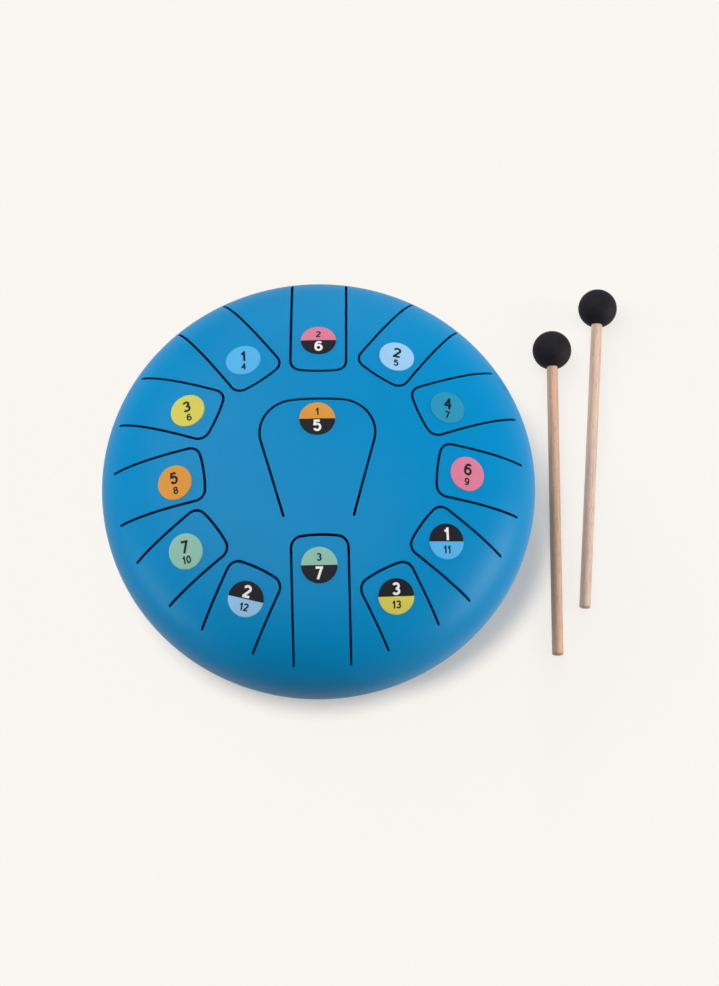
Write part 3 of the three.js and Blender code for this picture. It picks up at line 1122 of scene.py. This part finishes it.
class DRUM_OT_feet(Operator):
    """Make the rubber feet, each hollowed on top to fit the lower bowl"""

    bl_idname = "drum.feet"
    bl_label = "Feet"

    def execute(self, context):
        sizes = settings().foot
        low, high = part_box("foot_1")
        centre = Vector(((low.x + high.x) / 2, (low.y + high.y) / 2, 0))
        top = high.z + 5 * MILLIMETRE
        slope = sizes.tread + sizes.edge
        groove = [(part * sizes.tread, deep * sizes.groove) for part, deep in TREAD_RING]
        soft_rings = groove + [(sizes.tread, 0), (slope, sizes.edge)]
        profile = [(0, 0)] + soft_rings + [(sizes.radius, top), (0, top), (0, 0)]
        foot = lathe("rubber_foot_1", profile, steps=64, centre=centre)
        pick_rings(foot, soft_rings, centre)
        soften(0.3 * MILLIMETRE)
        hollow = lower_bowl().curve(OUTER_STEPS, sizes.gap)
        hollow += [(0, SEAM_HEIGHT), hollow[0]]
        plug = lathe("foot tool", hollow, steps=180, centre=DRUM_AXIS)
        carve(foot, plug, "DIFFERENCE")
        smooth(foot)
        finish(foot, new_material("foot rubber", rubber, settings().colours.rubber))
        for number in range(1, FOOT_COUNT + 1):
            turn = Matrix.Rotation(FULL_TURN * (number - 1) / FOOT_COUNT, 4, "Z")
            place = Matrix.Translation(DRUM_AXIS) @ turn @ Matrix.Translation(-DRUM_AXIS)
            piece = foot if number == 1 else duplicate(foot, f"rubber_foot_{number}", place)
            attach(piece, "drum")
            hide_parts(f"foot_{number}")
        return {"FINISHED"}


# The mallets

def mallet_place(number):
    """A matrix that puts a mallet's own +Z, from its ball to its tail, where the frame has it, and
    the distance from the ball's middle to the tail."""
    low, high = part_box(f"mallet_{number}_ball")
    ball = (low + high) / 2
    corners = [vertex.co for vertex in frame["nodes"][f"mallet_{number}_stick"].data.vertices]
    reach = max((corner - ball).length for corner in corners)
    tail = [corner for corner in corners if (corner - ball).length > reach - MILLIMETRE]
    end = sum(tail, Vector()) / len(tail)
    direction = (end - ball).normalized()
    turn = direction.to_track_quat("Z", "Y").to_matrix().to_4x4()
    return Matrix.Translation(ball) @ turn, (end - ball).length


class DRUM_OT_balls(Operator):
    """Make the mallets' rubber balls, each with the hole that holds its stick"""

    bl_idname = "drum.balls"
    bl_label = "Balls"

    def execute(self, context):
        sizes = settings().mallet
        bore = sizes.stick + sizes.bore_clearance
        mouth_angle = math.asin(bore / sizes.ball)
        mouth = (bore, sizes.ball * math.cos(mouth_angle))
        bore_end = sizes.ball - sizes.bore
        steps = 40
        profile = [(0, bore_end), (bore, bore_end), mouth]
        for step in range(1, steps + 1):
            angle = mouth_angle + (FULL_TURN / 2 - mouth_angle) * step / steps
            profile.append((sizes.ball * math.sin(angle), sizes.ball * math.cos(angle)))
        profile[-1] = (0, -sizes.ball)
        ball = lathe("mallet ball", profile, steps=80)
        pick_rings(ball, [mouth])
        soften(sizes.mouth_round)
        smooth(ball)
        finish(ball, new_material("ball rubber", rubber, settings().colours.rubber))
        for number in range(1, MALLET_COUNT + 1):
            piece = duplicate(ball, f"mallet_head_{number}", mallet_place(number)[0])
            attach(piece, f"mallet_{number}")
            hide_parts(f"mallet_{number}_ball")
        discard(ball)
        return {"FINISHED"}


class DRUM_OT_sticks(Operator):
    """Make the mallets' wooden sticks with their rounded ends"""

    bl_idname = "drum.sticks"
    bl_label = "Sticks"

    def execute(self, context):
        sizes = settings().mallet
        colours = settings().colours
        head = sizes.ball - sizes.bore + sizes.bore_clearance
        bases = [colours.warm_wood, colours.pale_wood]
        for number, base in enumerate(bases, start=1):
            place, reach = mallet_place(number)
            ends = [(sizes.stick, reach), (sizes.stick, head)]
            profile = [(0, reach), *ends, (0, head)]
            piece = lathe(f"mallet_handle_{number}", profile, steps=48)
            pick_rings(piece, ends)
            soften(sizes.end_round, segments=4)
            smooth(piece)
            piece.data.transform(place)
            finish(piece, new_material(f"stick wood {number}", wood, base, place))
            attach(piece, f"mallet_{number}")
            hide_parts(f"mallet_{number}_stick")
        return {"FINISHED"}


# The stage

# For each lamp: its name, how many degrees it stands above the table and round from the right
# towards the back, its strength, and how many degrees wide it looks from the drum
LAMPS = (
    ("overhead lamp", 90, 0, 0.93, 40),
    ("left lamp", 60, 180, 0.78, 40),
    ("back left lamp", 45, 135, 1.0, 40),
    ("back lamp", 22, 90, 0.6, 40),
)
# Lamps that light the pieces and never show as a sheen on them
WALLS = (
    ("left wall", 10, 180, 0.95, 25),
    ("right wall", 10, 0, 2.6, 25),
)
# Lamps that show only as a sheen on the glossy pieces
SHEENS = (
    ("left sheen", 3, 203, 1.3, 30),
    ("right sheen", 3, -19, 3.8, 40),
)
LAMP_DISTANCE = 2
TABLE_SIZE = 8
ROOM_GLOW = 0.02

# The middle of the shadow that the drum throws to its right and back
SHADOW_MIDDLE = (DRUM_AXIS.x + 28 * MILLIMETRE, DRUM_AXIS.y + 8 * MILLIMETRE, 0)
# The first ramp paints the table black near the axis: painted shade under the sound hole
# Ramps of (metres, share): from the axis, and from the axis or SHADOW_MIDDLE, whichever is nearer
PAINTED_SHADE_UNDER_HOLE = [(0.04, 0), (0.06, 1)]
PAST_SHADOW = [(0.1, 0), (0.12, 0.3), (0.135, 0.3), (0.15, 1)]
# And rightwards: to where the mallets lie, and to where the table throws all its light back
BY_MALLETS = [(0.105, 0), (0.125, 1)]
BESIDE_DRUM = [(0.06, 0), (0.1, 1)]
# How evenly the camera sees the table, and how much less so round the mallets
EVEN_SHARE = 0.97
MALLET_SHARE = 0.15
# How much light the table throws back elsewhere, and how bright it is in reflections
THROWN_SHARE = 0.42
MIRRORED_SHARE = 0.85


def table_top(nodes, place, tone):
    """A matte table. The camera sees its colour evenly, with part of the shadow round the drum and
    a little of the mallets'. Near the axis its colour is painted black, a painted shade under the
    sound hole that hides the light falling through it. The table throws less light back at the
    drum than it shows, but for its right side, and its reflection is nearly as bright and even as
    the camera sees it."""
    reach = nodes.distance(place, DRUM_AXIS)
    rightwards = nodes.add("ShaderNodeSeparateXYZ", None, {"Vector": place}, output="X")
    nearest = reach.math("MINIMUM", reach, nodes.distance(place, SHADOW_MIDDLE))
    # Painted shade: the table's colour is black under the sound hole and its own tone past it
    tone_with_painted_shade = nodes.blend(nodes.ramp(reach, PAINTED_SHADE_UNDER_HOLE), [0, 0, 0, 1], tone)
    matte = nodes.add("ShaderNodeBsdfDiffuse", None, {"Color": tone_with_painted_shade})
    even = nodes.add("ShaderNodeEmission", None, {"Color": tone, "Strength": 1.0})
    evenness = EVEN_SHARE - MALLET_SHARE * nodes.ramp(rightwards, BY_MALLETS)
    seen = nodes.mix(nodes.ramp(nearest, PAST_SHADOW) * evenness, matte, even)
    dimmed = shade(tone[:3], THROWN_SHARE)
    bounce = nodes.blend(nodes.ramp(rightwards, BESIDE_DRUM), dimmed, tone)
    thrown = nodes.add("ShaderNodeBsdfDiffuse", None, {"Color": bounce})
    mirrored = nodes.add("ShaderNodeEmission", None, {"Color": tone, "Strength": MIRRORED_SHARE})
    glossy_ray = nodes.add("ShaderNodeLightPath", output="Is Glossy Ray")
    camera_ray = nodes.add("ShaderNodeLightPath", output="Is Camera Ray")
    top = nodes.mix(camera_ray, nodes.mix(glossy_ray, thrown, mirrored), seen)
    nodes.add("ShaderNodeOutputMaterial", None, {"Surface": top})


def pointing(across, forwards, height):
    """A direction that stands at this angle above another one, given flat."""
    return Vector((across * math.cos(height), forwards * math.cos(height), math.sin(height)))


def lamp(name, elevation, azimuth, strength, spread):
    """A wide soft lamp, far away in one direction, which lights the whole table evenly."""
    turn = math.radians(azimuth)
    towards = pointing(math.cos(turn), math.sin(turn), math.radians(elevation))
    deselect()
    bpy.ops.object.light_add(type="SUN", location=towards * LAMP_DISTANCE)
    light = bpy.context.object
    light.name = name
    light.data.energy = strength
    light.data.angle = math.radians(spread)
    light.rotation_euler = towards.to_track_quat("Z", "Y").to_euler()
    return light


class DRUM_OT_stage(Operator):
    """Make the table, the room's light, the lamps and the camera"""

    bl_idname = "drum.stage"
    bl_label = "Stage"

    def execute(self, context):
        table_colour = shade(settings().colours.table, 1)
        deselect()
        bpy.ops.mesh.primitive_plane_add(size=TABLE_SIZE)
        table = bpy.context.object
        table.name = "table"
        finish(table, new_material("pale table", table_top, table_colour))

        world = bpy.data.worlds.new("room")
        context.scene.world = world
        world.use_nodes = True
        room = Nodes(world.node_tree)
        seen = room.add("ShaderNodeLightPath", output="Is Camera Ray")
        white = {"Color": (1, 1, 1, 1), "Strength": ROOM_GLOW}
        glow = room.add("ShaderNodeBackground", None, white)
        backdrop = room.add("ShaderNodeBackground", None, {"Color": table_colour, "Strength": 1})
        room.add("ShaderNodeOutputWorld", None, {"Surface": room.mix(seen, glow, backdrop)})

        for values in LAMPS:
            lamp(*values)
        for values in WALLS:
            lamp(*values).visible_glossy = False
        for values in SHEENS:
            lamp(*values).visible_diffuse = False

        view = settings().view
        back = pointing(math.sin(view.turn), -math.cos(view.turn), view.height)
        right = Vector((0, 0, 1)).cross(back).normalized()
        upright = Matrix((right, back.cross(right), back)).transposed()
        roll = Matrix.Rotation(view.roll, 3, "Z")
        looked_at = DRUM_AXIS + Vector((view.aside, view.behind, SEAM_HEIGHT))
        bpy.ops.object.camera_add()
        camera = context.object
        camera.name = "camera"
        place = Matrix.Translation(looked_at + back * view.distance)
        camera.matrix_world = place @ (upright @ roll).to_4x4()
        camera.data.lens = view.lens
        context.scene.camera = camera
        context.scene.view_settings.view_transform = "Standard"
        return {"FINISHED"}


class DRUM_PT_panel(Panel):
    """The drum's makers and settings in the 3D view's sidebar"""

    bl_label = "Tongue Drum"
    bl_idname = "DRUM_PT_panel"
    bl_space_type = "VIEW_3D"
    bl_region_type = "UI"
    bl_category = "Tongue Drum"

    def draw(self, context):
        for operator in OPERATORS:
            self.layout.operator(operator.bl_idname)
        drum = context.scene.tongue_drum
        for name in TongueDrum.__annotations__:
            group = getattr(drum, name)
            if isinstance(group, PropertyGroup):
                box = self.layout.box()
                for size in group.__annotations__:
                    box.prop(group, size)
            else:
                self.layout.prop(drum, name)


OPERATORS = (
    DRUM_OT_stage,
    DRUM_OT_lower_bowl,
    DRUM_OT_upper_bowl,
    DRUM_OT_tongues,
    DRUM_OT_stickers,
    DRUM_OT_feet,
    DRUM_OT_balls,
    DRUM_OT_sticks,
)
GROUPS = (BowlSizes, RimTongueSizes, MiddleTongueSizes, StickerSizes, FootSizes, MalletSizes)
CLASSES = (*GROUPS, Colours, View, TongueDrum, *OPERATORS, DRUM_PT_panel)


def register():
    """Adds the settings, the makers and the panel."""
    for kind in CLASSES:
        bpy.utils.register_class(kind)
    bpy.types.Scene.tongue_drum = PointerProperty(type=TongueDrum)


def unregister():
    """Takes them away again."""
    del bpy.types.Scene.tongue_drum
    for kind in reversed(CLASSES):
        bpy.utils.unregister_class(kind)


def main():
    """Makes the stage and the whole drum."""
    register()
    bpy.ops.drum.stage()
    bpy.ops.drum.lower_bowl()
    bpy.ops.drum.upper_bowl()
    bpy.ops.drum.tongues()
    bpy.ops.drum.stickers()
    bpy.ops.drum.feet()
    bpy.ops.drum.balls()
    bpy.ops.drum.sticks()


if __name__ == "__main__":
    main()
